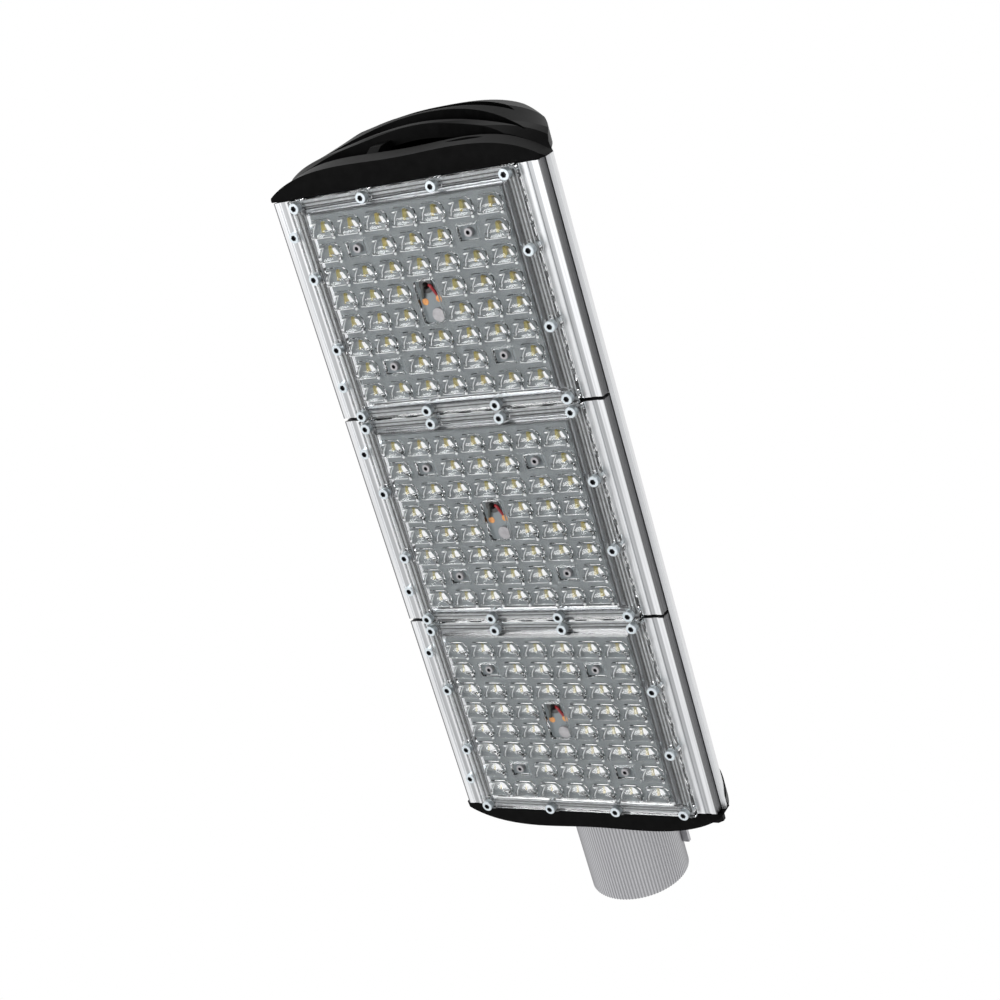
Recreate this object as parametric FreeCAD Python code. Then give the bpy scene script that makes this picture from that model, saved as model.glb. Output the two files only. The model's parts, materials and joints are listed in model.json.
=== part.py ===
import FreeCAD, Part
import math
import os

# LED street light head. X runs from the mouth of the pole socket to the nose of the front cap,
# Z is up and the LEDs face down. The origin is the centre of the socket's mouth. Lengths are in mm.
# Heights written as "above the face" start from the flat lower face of the light modules.

V = FreeCAD.Vector
ALONG = V(1, 0, 0)
BACK = V(-1, 0, 0)
UP = V(0, 0, 1)
DOWN = V(0, 0, -1)

# Row of light modules
module_count = 3
module_length = 145.4
module_gap = 0.8
module_half_width = 95.0
socket_axis_above_face = 39.5

# Heat sink of a module
base_thickness = 6.0
edge_height = 10.3
edge_inner = 80.0
fin_first = 10.0
fin_pitch = 11.0
fins_per_side = 6
fin_thickness = 2.0
fin_top = 31.4
stripe_inner = 87.0
stripe_outer = 91.0
stripe_depth = 0.4
side_groove_height = 2.4
side_groove_depth = 0.8
land_half_length = 60.5
land_half_width = 67.0
land_depth = 2.0
hook_thickness = 2.6
hook_reach = 5.0
hook_clearance = 0.2

# Circuit board and light-emitting diodes
board_half_length = 61.5
board_half_width = 68.0
board_thickness = 1.6
led_side = 3.4
led_height = 0.8

# Lens grid: columns across the lamp, rows along it
lens_columns = 7
lens_rows = 8
column_pitch = 20.0
row_pitch = 15.35
screw_box_column = 2
screw_box_row = 2.5
window_half_length = 14.5
window_half_width = 8.5
window_corner = 3.0
screw_box_half_length = 5.5
screw_box_half_width = 7.5
rim_width = 1.0
rim_height = 0.5

# One lens
lens_base_length = 12.0
lens_base_width = 17.4
lens_corner_cut = 3.0
lens_top_length = 5.0
lens_top_width = 11.0
lens_height = 4.0

# Lens plate and gasket
gasket_thickness = 0.8
flange_half_length = 72.3
flange_half_width = 81.3
flange_thickness = 3.2
boss_radius = 5.5
boss_height = 0.6
rise_half_length = 66.9
rise_half_width = 73.5
rise_height = 2.6
rise_slope = 4.3
sheet_thickness = 2.0
pocket_margin = 1.5
gasket_margin = 0.5
gasket_inner_half_length = 64.5
gasket_inner_half_width = 72.0
edge_bead_width = 2.6
edge_bead_height = 0.5

# Fasteners: thread radius, head radius, head height
m3 = (1.5, 2.75, 3.0)
m4 = (2.0, 3.5, 4.0)
thread_clearance = 0.05
through_clearance = 0.25
head_clearance = 0.5
end_screw_across = 68.75
end_screw_steps = (25.0, 75.0)
side_screw_across = 77.2
side_screw_along = 23.3
lens_screw_length = 10.0
module_screw_across = 85.4
module_screw_along = 49.9
module_screw_length = 16.0
end_plate_screw_length = 16.0
board_screw_length = 7.0
centre_screw_place = (-9.0, 3.0)
centre_screw_head = (2.0, 4.25, 2.0)
centre_screw_length = 7.0

# Feed of a board, in the window of its lens plate
wire_hole_place = (9.5, -0.8)
grommet_radius = 4.0
grommet_bore = 2.3
grommet_flange_radius = 4.8
grommet_flange_height = 0.8
lead_radius = 0.7
lead_spread = 1.3
lead_drop = 1.4
joint_along = 2.6
joint_across = 5.8
joint_radius = 1.5
connector_length = 14.0
connector_width = 10.0
connector_height = 12.0

# Arched housing: two side arcs, two shoulder arcs and a crown arc
neck_half_width = 92.8
neck_height = 17.2
neck_lean = 20.0
side_radius = 143.0
shoulder_start = 34.5
shoulder_radius = 60.0
shoulder_end = 65.0
housing_wall = 3.0
foot_inner = 95.5
foot_outer = 98.1
foot_bottom = 7.1
foot_bead = 0.7
foot_top_half_width = 97.5
foot_top = 10.7
rail_thickness = 2.5
ledge_inner = 70.0
ledge_thickness = 2.5
crown_rib_count = 13
crown_rib_pitch = 8.0
crown_rib_width = 2.0
crown_rib_height = 1.0
port_leans = (25.0, 38.0, 58.0)
port_radius = 4.0
port_inset = 3.2

# End caps
cap_growth = 1.0
cap_chamfer = 2.6
cap_wall = 2.9
cap_floor = 2.5
web_thickness = 3.0
web_width = 12.0
blade_depth = 9.0
cap_screw_length = 12.0
rear_cap_screw_length = 9.0
rear_cap_screw_leans = (48.0, 68.0)
socket_opening_clearance = 1.0

# Louvre slots of a cap, and the fine groove that runs on from the lowest one: half width, height of
# the ends, height of the lower edge's middle and height of the upper edge's middle, above the face
slots = ((71.0, 13.0, 15.5, 31.0), (80.0, 20.0, 34.8, 50.0), (61.0, 46.0, 53.5, 69.0))
groove = (88.0, 12.5, 13.0, 16.5)
strut_across = -22.5
strut_width = 8.0
strut_front = 19.0
leaf_middle = 45.0
leaf_half_length = 13.0
leaf_height = 9.0
leaf_opening = 4.0

# Dome of a cap: height above the face, half width, depth of the nose, squareness of the nose,
# slimness of its ends, share of the depth that the middle gives up
dome_levels = (
    (-2.0, 98.9, 15.9, 4.0, 0.8, 0.10),
    (13.0, 98.9, 17.5, 5.0, 1.2, 0.08),
    (22.0, 98.9, 20.8, 3.5, 0.65, 0.0),
    (31.0, 96.0, 25.0, 1.6, 0.45, 0.0),
    (52.0, 80.0, 28.0, 2.2, 0.4, 0.0),
    (70.0, 66.0, 26.0, 2.6, 0.4, 0.0),
    (84.0, 60.0, 18.0, 2.6, 0.5, 0.0),
)
dome_points = 17
dip_half_width = 34.0

# Pole socket
socket_outer_radius = 34.5
socket_bore_radius = 30.5
socket_length = 69.4
flute_count = 96
flute_depth = 0.6
end_plate_thickness = 8.0
end_plate_clearance = 0.3
saddle_half_width = 31.0
saddle_start = 18.0
saddle_bottom = 4.0
saddle_top = 28.0
ear_half_width = 37.5
ear_bottom = 11.5
ear_thickness = 3.0
clamp_screw_places = (26.0, 41.0)
clamp_boss_radius = 8.0
clamp_boss_top = 38.0
clamp_screw_radius = 4.0
clamp_screw_tip = 31.0
clamp_head_gap = 2.5
clamp_head_across_flats = 13.0
clamp_head_height = 5.3
cable_hole_radius = 8.0
cable_bore_radius = 4.5
cable_flange_radius = 10.0
cable_flange_thickness = 2.0

# Power supply and its tray
tray_start = 120.0
tray_length = 280.0
tray_half_width = 80.0
tray_thickness = 2.0
tray_underside = 35.0
tray_screw_inset = 15.0
tray_screw_across = 73.5
tray_screw_length = 6.0
driver_start = 206.0
driver_length = 180.0
driver_half_width = 30.0
driver_height = 35.0
driver_chamfer = 3.0
driver_tab_length = 12.0
driver_tab_thickness = 3.0
driver_screw_across = 22.0
driver_screw_length = 5.0
terminal_start = 130.0
terminal_length = 30.0
terminal_across = -15.0
terminal_width = 20.0
terminal_height = 15.0
terminal_step = 5.0
output_lead_radius = 2.0
output_lead_turn = 13.5
input_lead_radius = 3.0
input_lead_height = 7.0
tray_slot_half_length = 7.0
tray_slot_half_width = 4.0

# Places that follow from the sizes above
face = -socket_axis_above_face
row_start = socket_length + end_plate_thickness
module_pitch = module_length + module_gap
row_end = row_start + module_count * module_pitch - module_gap
module_names = ("rear", "middle", "front")
board_face = face - land_depth - board_thickness
flange_face = face - gasket_thickness - flange_thickness
sheet_face = flange_face - rise_height
screw_seat = flange_face - boss_height
tray_top = face + tray_underside + tray_thickness
cap_reach = max(level[2] for level in dome_levels) + cap_wall


def module_centre(index):
    return row_start + module_length / 2 + index * module_pitch


def block(x0, x1, y0, y1, z0, z1):
    return Part.makeBox(x1 - x0, y1 - y0, z1 - z0, V(x0, y0, z0))


def middle_block(x, y, half_length, half_width, z0, z1):
    return block(x - half_length, x + half_length, y - half_width, y + half_width, z0, z1)


def rod(radius, start, direction, length):
    return Part.makeCylinder(radius, length, start, direction)


def joined(shapes):
    whole = shapes[0].multiFuse(shapes[1:])
    return whole.removeSplitter()


def extruded(points, offset):
    outline = Part.makePolygon(points + [points[0]])
    return Part.Face(outline).extrude(offset)


def section_along(points, start, length):
    return extruded([V(start, y, z) for y, z in points], V(length, 0, 0))


def cap_screw(thread, place, direction, length):
    radius, head_radius, head_height = thread
    shank = rod(radius, place, direction, length)
    head = rod(head_radius, place, direction * -1, head_height)
    return joined([shank, head])


def polar(centre, radius, lean):
    angle = math.radians(lean)
    return (centre[0] + radius * math.cos(angle), centre[1] + radius * math.sin(angle))


# Centres of the housing's arcs, as distance from the middle and height above the face
side_centre = polar((neck_half_width, neck_height), -side_radius, neck_lean)
shoulder_centre = polar(side_centre, side_radius - shoulder_radius, shoulder_start)
crown_radius = shoulder_radius + shoulder_centre[0] / math.cos(math.radians(shoulder_end))
crown_centre = polar(shoulder_centre, shoulder_radius - crown_radius, shoulder_end)


def arch_point(lean, growth):
    """Point of the housing's outer line, moved outwards, where the wall leans by this angle."""
    if lean <= shoulder_start:
        return polar(side_centre, side_radius + growth, lean)
    if lean <= shoulder_end:
        return polar(shoulder_centre, shoulder_radius + growth, lean)
    return polar(crown_centre, crown_radius + growth, lean)


def arch_arcs(x, growth):
    """Arcs from the right neck over the crown to the left neck."""
    right_leans = (neck_lean, shoulder_start, shoulder_end)
    spans = []
    for first, last in zip(right_leans[:-1], right_leans[1:]):
        spans.append([arch_point(lean, growth) for lean in (first, (first + last) / 2, last)])
    left_spans = [[(-y, z) for y, z in reversed(span)] for span in reversed(spans)]
    end = arch_point(shoulder_end, growth)
    crown = (0, crown_centre[1] + crown_radius + growth)
    spans.append([end, crown, (-end[0], end[1])])
    arcs = []
    for span in spans + left_spans:
        corners = [V(x, y, face + z) for y, z in span]
        arcs.append(Part.Arc(corners[0], corners[1], corners[2]).toShape())
    return arcs


def closed_section(arcs, lower_points, x):
    """Face from the arcs and the points that lead from their left end back to their right end."""
    corners = [arcs[-1].Vertexes[-1].Point]
    corners += [V(x, y, face + z) for y, z in lower_points]
    corners.append(arcs[0].Vertexes[0].Point)
    lines = [Part.LineSegment(a, b).toShape() for a, b in zip(corners[:-1], corners[1:])]
    return Part.Face(Part.Wire(arcs + lines))


def end_section(x, growth, bottom):
    """Section of the closed end of the lamp, with a flat bottom at this height above the face."""
    half_width = foot_top_half_width + growth
    right = [(half_width, foot_top + growth), (half_width, bottom + cap_chamfer)]
    right.append((half_width - cap_chamfer, bottom))
    left = [(-y, z) for y, z in right]
    return closed_section(arch_arcs(x, growth), left + right[::-1], x)


def housing():
    arcs = arch_arcs(row_start, 0)
    foot = [(foot_top_half_width, foot_top), (foot_outer, foot_bottom + foot_bead)]
    foot += [(foot_inner, foot_bottom), (foot_inner, edge_height), (edge_inner, edge_height)]
    foot.append((edge_inner, edge_height + rail_thickness))
    left = [(-y, z) for y, z in foot]
    filled = closed_section(arcs, left + foot[::-1], row_start)
    inner_neck = arch_point(neck_lean, -housing_wall)[0]
    rail_top = edge_height + rail_thickness
    inner_corners = [(-inner_neck, rail_top), (inner_neck, rail_top)]
    hollow = closed_section(arch_arcs(row_start, -housing_wall), inner_corners, row_start)
    length = V(row_end - row_start, 0, 0)
    shell = filled.extrude(length).cut(hollow.extrude(length))
    envelope = closed_section(arch_arcs(row_start, -housing_wall / 2), inner_corners, row_start)
    inside = envelope.extrude(length)
    parts = [shell] + housing_ribs()
    ledge_top = face + tray_underside
    for side in (-1, 1):
        reach = sorted((side * ledge_inner, side * neck_half_width))
        ledge = block(row_start, row_end, reach[0], reach[1], ledge_top - ledge_thickness, ledge_top)
        parts.append(ledge.common(inside))
    for y, z in port_places():
        parts.append(rod(port_radius, V(row_start, y, z), ALONG, row_end - row_start))
    body = joined(parts)
    holes = [rod(m4[0] + thread_clearance, V(row_start, y, z), ALONG, row_end - row_start)
             for y, z in port_places()]
    holes += [rod(m4[0] + thread_clearance, place, DOWN, 2 * ledge_thickness)
              for place in tray_screw_places()]
    holes += [rod(m4[0] + thread_clearance, place, UP, module_screw_length)
              for place in module_screw_places()]
    return body.cut(holes)


def housing_ribs():
    ribs = []
    for step in range(crown_rib_count):
        y = (step - (crown_rib_count - 1) / 2) * crown_rib_pitch
        surface = crown_centre[1] + math.sqrt(crown_radius ** 2 - y ** 2)
        low = face + surface - housing_wall / 2
        high = face + surface + crown_rib_height
        half = crown_rib_width / 2
        outline = [(y - half, low), (y + half, low), (y + half / 2, high), (y - half / 2, high)]
        ribs.append(section_along(outline, row_start, row_end - row_start))
    return ribs


def port_places():
    places = []
    for lean in port_leans:
        y, z = arch_point(lean, -housing_wall - port_inset)
        places += [(y, face + z), (-y, face + z)]
    return places


def heat_sink(centre):
    start = centre - module_length / 2
    low = [(edge_inner, face + edge_height), (module_half_width, face + edge_height)]
    groove = face + side_groove_height
    low += [(module_half_width, groove + side_groove_depth)]
    low += [(module_half_width - side_groove_depth, groove)]
    low += [(module_half_width, groove - side_groove_depth), (module_half_width, face)]
    low += [(stripe_outer, face), (stripe_outer, face + stripe_depth)]
    low += [(stripe_inner, face + stripe_depth), (stripe_inner, face)]
    left = [(-y, z) for y, z in reversed(low)]
    top = face + base_thickness
    outline = [(edge_inner, top)] + low + left + [(-edge_inner, top)]
    parts = [section_along(outline, start, module_length)]
    for step in range(fins_per_side):
        for side in (-1, 1):
            y = side * (fin_first + step * fin_pitch)
            half = fin_thickness / 2
            fin = [(y - half, top), (y + half, top), (y + half / 2, face + fin_top)]
            fin.append((y - half / 2, face + fin_top))
            parts.append(section_along(fin, start, module_length))
    parts.append(section_along(hook_outline(), start, module_length))
    parts.append(middle_block(centre, 0, land_half_length, land_half_width, face - land_depth, face))
    body = joined(parts)
    clear = thread_clearance
    holes = [rod(m4[0] + clear, V(x, y, screw_seat), UP, lens_screw_length)
             for x, y in lens_screw_places(centre)]
    holes += [rod(m3[0] + clear, V(x, y, board_face), UP, board_screw_length)
              for x, y in board_screw_places(centre)]
    x, y = centre + centre_screw_place[0], centre_screw_place[1]
    holes.append(rod(centre_screw_head[0] + clear, V(x, y, board_face), UP, centre_screw_length))
    x, y = centre + wire_hole_place[0], wire_hole_place[1]
    holes.append(rod(grommet_radius, V(x, y, board_face), UP, top - board_face))
    holes += [rod(m4[0] + through_clearance, place, UP, edge_height)
              for place in module_screw_places() if abs(place.x - centre) < module_length / 2]
    return body.cut(holes)


def hook_outline():
    """Hook that grips the housing's right rail from above."""
    inner = edge_inner - hook_thickness - hook_clearance
    under = face + edge_height + rail_thickness + hook_clearance
    outline = [(inner, face + base_thickness), (edge_inner - hook_clearance, face + base_thickness)]
    outline += [(edge_inner - hook_clearance, under), (edge_inner + hook_reach, under)]
    outline += [(edge_inner + hook_reach, under + hook_thickness), (inner, under + hook_thickness)]
    return outline


def lens_screw_places(centre):
    places = []
    for along in (-1, 1):
        for across in (-1, 1):
            for step in end_screw_steps:
                places.append((centre + along * end_screw_across, across * step))
            places.append((centre + along * side_screw_along, across * side_screw_across))
    return places


def board_screw_places(centre):
    along = screw_box_row * row_pitch
    across = screw_box_column * column_pitch
    return [(centre + a * along, b * across) for a in (-1, 1) for b in (-1, 1)]


def module_screw_places():
    places = []
    for index in range(module_count):
        for along in (-1, 1):
            x = module_centre(index) + along * module_screw_along
            places.append(V(x, -module_screw_across, face))
    return places


def tray_screw_places():
    places = []
    for x in (tray_start + tray_screw_inset, tray_start + tray_length - tray_screw_inset):
        for side in (-1, 1):
            places.append(V(x, side * tray_screw_across, tray_top))
    return places


def lens_places(centre):
    """Centres of the lenses: the whole grid, less four screw boxes and the window."""
    places = []
    for row in range(lens_rows):
        for column in range(lens_columns):
            along = row - (lens_rows - 1) / 2
            across = column - (lens_columns - 1) / 2
            boxed = abs(across) == screw_box_column and abs(along) == screw_box_row
            in_window = across == 0 and abs(along) * row_pitch < window_half_length
            if not boxed and not in_window:
                places.append((centre + along * row_pitch, across * column_pitch))
    return places


def lens(x, y):
    """Lens dome: a base with cut corners that narrows to a small flat top."""
    high = sheet_face
    low = sheet_face - lens_height
    half_length = lens_base_length / 2
    half_width = lens_base_width / 2
    side_view = [(half_width, high), (lens_top_width / 2, low)]
    side_view += [(-across, z) for across, z in reversed(side_view)]
    across = section_along([(y + offset, z) for offset, z in side_view], x - half_length, lens_base_length)
    front_view = [(half_length, high), (lens_top_length / 2, low)]
    front_view += [(-along, z) for along, z in reversed(front_view)]
    start = y - half_width
    outline = [V(x + offset, start, z) for offset, z in front_view]
    along = extruded(outline, V(0, lens_base_width, 0))
    base = extruded(octagon(x, y, half_length, half_width, lens_corner_cut, low), V(0, 0, lens_height))
    return across.common(along).common(base)


def octagon(x, y, half_length, half_width, cut, z):
    corners = []
    for a, b in ((1, 1), (-1, 1), (-1, -1), (1, -1)):
        near_side = V(x + a * half_length, y + b * (half_width - cut), z)
        near_end = V(x + a * (half_length - cut), y + b * half_width, z)
        corners += [near_side, near_end] if a == b else [near_end, near_side]
    return corners


def rectangle(x, half_length, half_width, z):
    corners = [V(x + a * half_length, b * half_width, z) for a, b in ((1, 1), (-1, 1), (-1, -1), (1, -1))]
    return Part.makePolygon(corners + [corners[0]])


def rounded_block(x, y, half_length, half_width, corner, z0, z1):
    body = middle_block(x, y, half_length, half_width, z0, z1)
    upright = [edge for edge in body.Edges if abs(edge.tangentAt(edge.FirstParameter).z) > 0.9]
    return body.makeFillet(corner, upright)


def lens_plate(centre):
    back = face - gasket_thickness
    parts = [middle_block(centre, 0, flange_half_length, flange_half_width, flange_face, back)]
    for side in (-1, 1):
        outer = side * flange_half_width
        inner = side * (flange_half_width - edge_bead_width)
        y0, y1 = sorted((outer, inner))
        parts.append(block(centre - flange_half_length, centre + flange_half_length, y0, y1,
                           flange_face - edge_bead_height, flange_face))
    wide = rectangle(centre, rise_half_length, rise_half_width, flange_face)
    narrow = rectangle(centre, rise_half_length - rise_slope, rise_half_width - rise_slope, sheet_face)
    parts.append(Part.makeLoft([wide, narrow], True, True))
    limit = middle_block(centre, 0, module_length / 2, module_half_width, screw_seat, back)
    for x, y in lens_screw_places(centre):
        boss = rod(boss_radius, V(x, y, screw_seat), UP, back - screw_seat)
        parts.append(boss.common(limit))
    rim_face = sheet_face - rim_height
    for x, y in board_screw_places(centre):
        parts.append(middle_block(x, y, screw_box_half_length, screw_box_half_width, rim_face, sheet_face))
    parts.append(rounded_block(centre, 0, window_half_length, window_half_width, window_corner,
                               rim_face, sheet_face))
    body = joined(parts)
    half_length = board_half_length + pocket_margin
    half_width = board_half_width + pocket_margin
    cuts = [middle_block(centre, 0, half_length, half_width, sheet_face + sheet_thickness, face)]
    cuts += [rod(m4[0] + through_clearance, V(x, y, screw_seat), UP, face - screw_seat)
             for x, y in lens_screw_places(centre)]
    cuts += [rod(m4[1] + through_clearance, V(x, y, screw_seat), DOWN, m4[2])
             for x, y in lens_screw_places(centre)]
    box_length = screw_box_half_length - rim_width
    box_width = screw_box_half_width - rim_width
    cuts += [middle_block(x, y, box_length, box_width, rim_face, face)
             for x, y in board_screw_places(centre)]
    cuts.append(rounded_block(centre, 0, window_half_length - rim_width, window_half_width - rim_width,
                              window_corner - rim_width, rim_face, face))
    plate = body.cut(cuts)
    return plate.multiFuse([lens(x, y) for x, y in lens_places(centre)])


def gasket(centre):
    half_length = flange_half_length - gasket_margin
    half_width = flange_half_width - gasket_margin
    back = face - gasket_thickness
    ring = middle_block(centre, 0, half_length, half_width, back, face)
    cuts = [middle_block(centre, 0, gasket_inner_half_length, gasket_inner_half_width, back, face)]
    cuts += [rod(m4[0] + through_clearance, V(x, y, back), UP, gasket_thickness)
             for x, y in lens_screw_places(centre)]
    return ring.cut(cuts)


def board(centre):
    top = board_face + board_thickness
    plate = middle_block(centre, 0, board_half_length, board_half_width, board_face, top)
    cuts = [rod(m3[0] + through_clearance, V(x, y, board_face), UP, board_thickness)
            for x, y in board_screw_places(centre)]
    x, y = centre + centre_screw_place[0], centre_screw_place[1]
    hole = centre_screw_head[0] + through_clearance
    cuts.append(rod(hole, V(x, y, board_face), UP, board_thickness))
    x, y = centre + wire_hole_place[0], wire_hole_place[1]
    cuts.append(rod(grommet_radius, V(x, y, board_face), UP, board_thickness))
    return plate.cut(cuts)


def leds(centre):
    low = board_face - led_height
    half = led_side / 2
    return [middle_block(x, y, half, half, low, board_face) for x, y in lens_places(centre)]


def wire_grommet(centre):
    x, y = centre + wire_hole_place[0], wire_hole_place[1]
    top = face + base_thickness
    low = board_face - grommet_flange_height
    sleeve = rod(grommet_radius, V(x, y, board_face), UP, top - board_face)
    flange = rod(grommet_flange_radius, V(x, y, low), UP, grommet_flange_height)
    bore = rod(grommet_bore, V(x, y, low), UP, top - low)
    return joined([sleeve, flange]).cut(bore)


def lead(centre, side):
    """Thin wire from the connector down through the grommet, then along the board to its joint."""
    x, y = centre + wire_hole_place[0], wire_hole_place[1] + side * lead_spread
    low = board_face - grommet_flange_height - lead_drop
    joint = V(centre + joint_along, side * joint_across, low)
    top = V(x, y, face + base_thickness)
    bend = V(x, y, low)
    way = joint.sub(bend)
    way.normalize()
    end = joint.sub(way * (joint_radius + thread_clearance))
    turn = 2 * lead_radius
    before = bend.add(UP * turn)
    after = bend.add(way * turn)
    middle = bend.add((UP + way) * turn).add((UP + way) * (-turn / math.sqrt(2)))
    edges = [Part.LineSegment(top, before).toShape()]
    edges.append(Part.Arc(before, middle, after).toShape())
    edges.append(Part.LineSegment(after, end).toShape())
    return pipe(edges, top, DOWN, lead_radius)


def pipe(edges, start, direction, radius):
    circle = Part.Wire(Part.makeCircle(radius, start, direction))
    return Part.Wire(edges).makePipeShell([circle], True, True)


def solder_joints(centre):
    low = board_face - grommet_flange_height - lead_drop - lead_radius
    joints = []
    for side in (-1, 1):
        place = V(centre + joint_along, side * joint_across, low)
        joints.append(rod(joint_radius, place, UP, board_face - low))
    return joints


def connector(centre):
    x, y = centre + wire_hole_place[0], wire_hole_place[1]
    low = face + base_thickness
    return middle_block(x, y, connector_length / 2, connector_width / 2, low, low + connector_height)


def dome_outline(height, half_width, depth, squareness, slimness, dip):
    """Level outline of a cap's dome, x outwards from the end of the housing."""
    nose = []
    for step in range(dome_points):
        across = math.cos(math.pi * step / (dome_points - 1))
        y = half_width * across
        x = depth * (1 - min(1.0, abs(across)) ** squareness) ** slimness
        x -= depth * dip * math.exp(-(y / dip_half_width) ** 2)
        nose.append(V(max(x, 0.0), y, face + height))
    curve = Part.BSplineCurve()
    curve.interpolate(nose)
    corners = [nose[-1], V(-end_plate_thickness, -half_width, face + height)]
    corners += [V(-end_plate_thickness, half_width, face + height), nose[0]]
    lines = [Part.LineSegment(a, b).toShape() for a, b in zip(corners[:-1], corners[1:])]
    return Part.Wire([curve.toShape()] + lines)


def dome(inset, setback):
    outlines = []
    for height, half_width, depth, squareness, slimness, dip in dome_levels:
        outlines.append(dome_outline(height, half_width - inset, depth - setback, squareness,
                                     slimness, dip))
    return Part.makeLoft(outlines, True, True)


def crescent(half_width, ends, low_middle, high_middle, across):
    """Slot cutter: a crescent between two arcs that share their ends."""
    left = V(0, across - half_width, face + ends)
    right = V(0, across + half_width, face + ends)
    low = V(0, across, face + low_middle)
    high = V(0, across, face + high_middle)
    arcs = [Part.Arc(left, low, right).toShape(), Part.Arc(right, high, left).toShape()]
    return Part.Face(Part.Wire(arcs)).extrude(V(cap_reach, 0, 0))


def cap_solid():
    """Outer form of a cap in its own place: x = 0 at the end of the housing, x outwards."""
    envelope = end_section(0, cap_growth, 0).extrude(V(cap_reach, 0, 0))
    return envelope.common(dome(0, 0))


def cap_hollow(web_start):
    """Room inside a cap, with a web left standing that starts at this distance."""
    web_end = web_start + web_thickness
    inner = end_section(0, cap_growth - cap_wall, cap_floor)
    room = inner.extrude(V(cap_reach, 0, 0)).common(dome(cap_wall, blade_depth))
    web = end_section(0, cap_growth, 0).extrude(V(web_end, 0, 0))
    window = closed_section(arch_arcs(0, cap_growth - cap_wall - web_width), [], 0)
    hollow = [room.cut(web), window.extrude(V(web_end, 0, 0))]
    if web_start > 0:
        hollow.append(inner.extrude(V(web_start, 0, 0)))
    return hollow


def cap(web_start):
    """Louvred cap in its own place."""
    cutters = [crescent(half, ends, low, high, 0) for half, ends, low, high in slots + (groove,)]
    leaf_low = leaf_height - leaf_opening / 2
    leaf_high = leaf_height + leaf_opening / 2
    cutters.append(crescent(leaf_half_length, leaf_height, leaf_low, leaf_high, leaf_middle))
    web = end_section(0, cap_growth, 0).extrude(V(web_start + web_thickness, 0, 0))
    return cap_solid().cut(cap_hollow(web_start)).cut([cutter.cut(web) for cutter in cutters])


def strut():
    """Upright strut that crosses the lowest slot of the front cap, a little behind the nose."""
    half, ends, low, high = slots[0]
    half_width = strut_width / 2
    place = block(0, strut_front, strut_across - half_width, strut_across + half_width,
                  face + ends, face + high)
    return cap_solid().common(place).cut(cap_hollow(0))


def screw_holes(places, radius, start, length):
    return [rod(radius, V(start, y, z), ALONG, length) for y, z in places]


def head_pockets(places, seat):
    """Room in a cap for the screw heads that stand on a wall at this distance."""
    radius = m4[1] + head_clearance
    return screw_holes(places, radius, seat, m4[2] + head_clearance)


def front_screw_places():
    return [port_places()[index] for index in (0, 1, 4, 5)]


def rear_screw_places():
    places = []
    for lean in rear_cap_screw_leans:
        y, z = arch_point(lean, -housing_wall - port_inset)
        places += [(y, face + z), (-y, face + z)]
    return places


def front_cap():
    body = cap(0).fuse(strut()).removeSplitter()
    cuts = screw_holes(front_screw_places(), m4[0] + through_clearance, 0, web_thickness)
    cuts += head_pockets(front_screw_places(), web_thickness)
    return body.cut(cuts).translated(V(row_end, 0, 0))


def rear_cap():
    body = cap(end_plate_thickness)
    web_end = end_plate_thickness + web_thickness
    cuts = screw_holes(rear_screw_places(), m4[0] + through_clearance, 0, web_end)
    cuts += head_pockets(rear_screw_places(), web_end)
    cuts += head_pockets(port_places(), end_plate_thickness)
    clear = socket_opening_clearance
    reach = row_start
    cuts.append(rod(socket_outer_radius + clear, V(0, 0, 0), ALONG, reach))
    for half_width, low, high in saddle_steps():
        wide = half_width + clear
        cuts.append(block(0, reach, -wide, wide, low - clear, high + clear))
    turned = body.cut(cuts)
    turned.rotate(V(0, 0, 0), UP, 180)
    return turned.translated(V(row_start, 0, 0))


def fluted_tube():
    """Tube with fine flutes along its outside."""
    corners = []
    for step in range(2 * flute_count):
        angle = math.pi * step / flute_count
        radius = socket_outer_radius - flute_depth * (step % 2)
        corners.append(V(0, radius * math.cos(angle), radius * math.sin(angle)))
    return extruded(corners, V(socket_length, 0, 0))


def saddle_steps():
    """Half width, bottom and top of the socket's saddle and of the ears along its sides."""
    return ((saddle_half_width, saddle_bottom, saddle_top),
            (ear_half_width, ear_bottom, ear_bottom + ear_thickness))


def pole_socket():
    growth = cap_growth - cap_wall - end_plate_clearance
    bottom = cap_floor + end_plate_clearance
    plate = end_section(socket_length, growth, bottom).extrude(V(end_plate_thickness, 0, 0))
    parts = [fluted_tube(), plate]
    parts += [block(saddle_start, socket_length, -half_width, half_width, low, high)
              for half_width, low, high in saddle_steps()]
    parts += [rod(clamp_boss_radius, V(x, 0, saddle_top), UP, clamp_boss_top - saddle_top)
              for x in clamp_screw_places]
    body = joined(parts)
    cuts = [rod(socket_bore_radius, V(0, 0, 0), ALONG, socket_length)]
    cuts.append(rod(cable_hole_radius, V(socket_length, 0, 0), ALONG, end_plate_thickness))
    cuts += [rod(clamp_screw_radius + thread_clearance, V(x, 0, 0), UP, clamp_boss_top)
             for x in clamp_screw_places]
    cuts += screw_holes(port_places(), m4[0] + through_clearance, socket_length, end_plate_thickness)
    cuts += screw_holes(rear_screw_places(), m4[0] + thread_clearance, socket_length,
                        end_plate_thickness)
    return body.cut(cuts)


def clamp_screw(x):
    head_low = clamp_boss_top + clamp_head_gap
    shank = rod(clamp_screw_radius, V(x, 0, clamp_screw_tip), UP, head_low - clamp_screw_tip)
    corner_radius = clamp_head_across_flats / math.sqrt(3)
    corners = []
    for step in range(6):
        angle = math.pi * step / 3
        corners.append(V(x + corner_radius * math.cos(angle), corner_radius * math.sin(angle), head_low))
    return joined([shank, extruded(corners, V(0, 0, clamp_head_height))])


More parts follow.
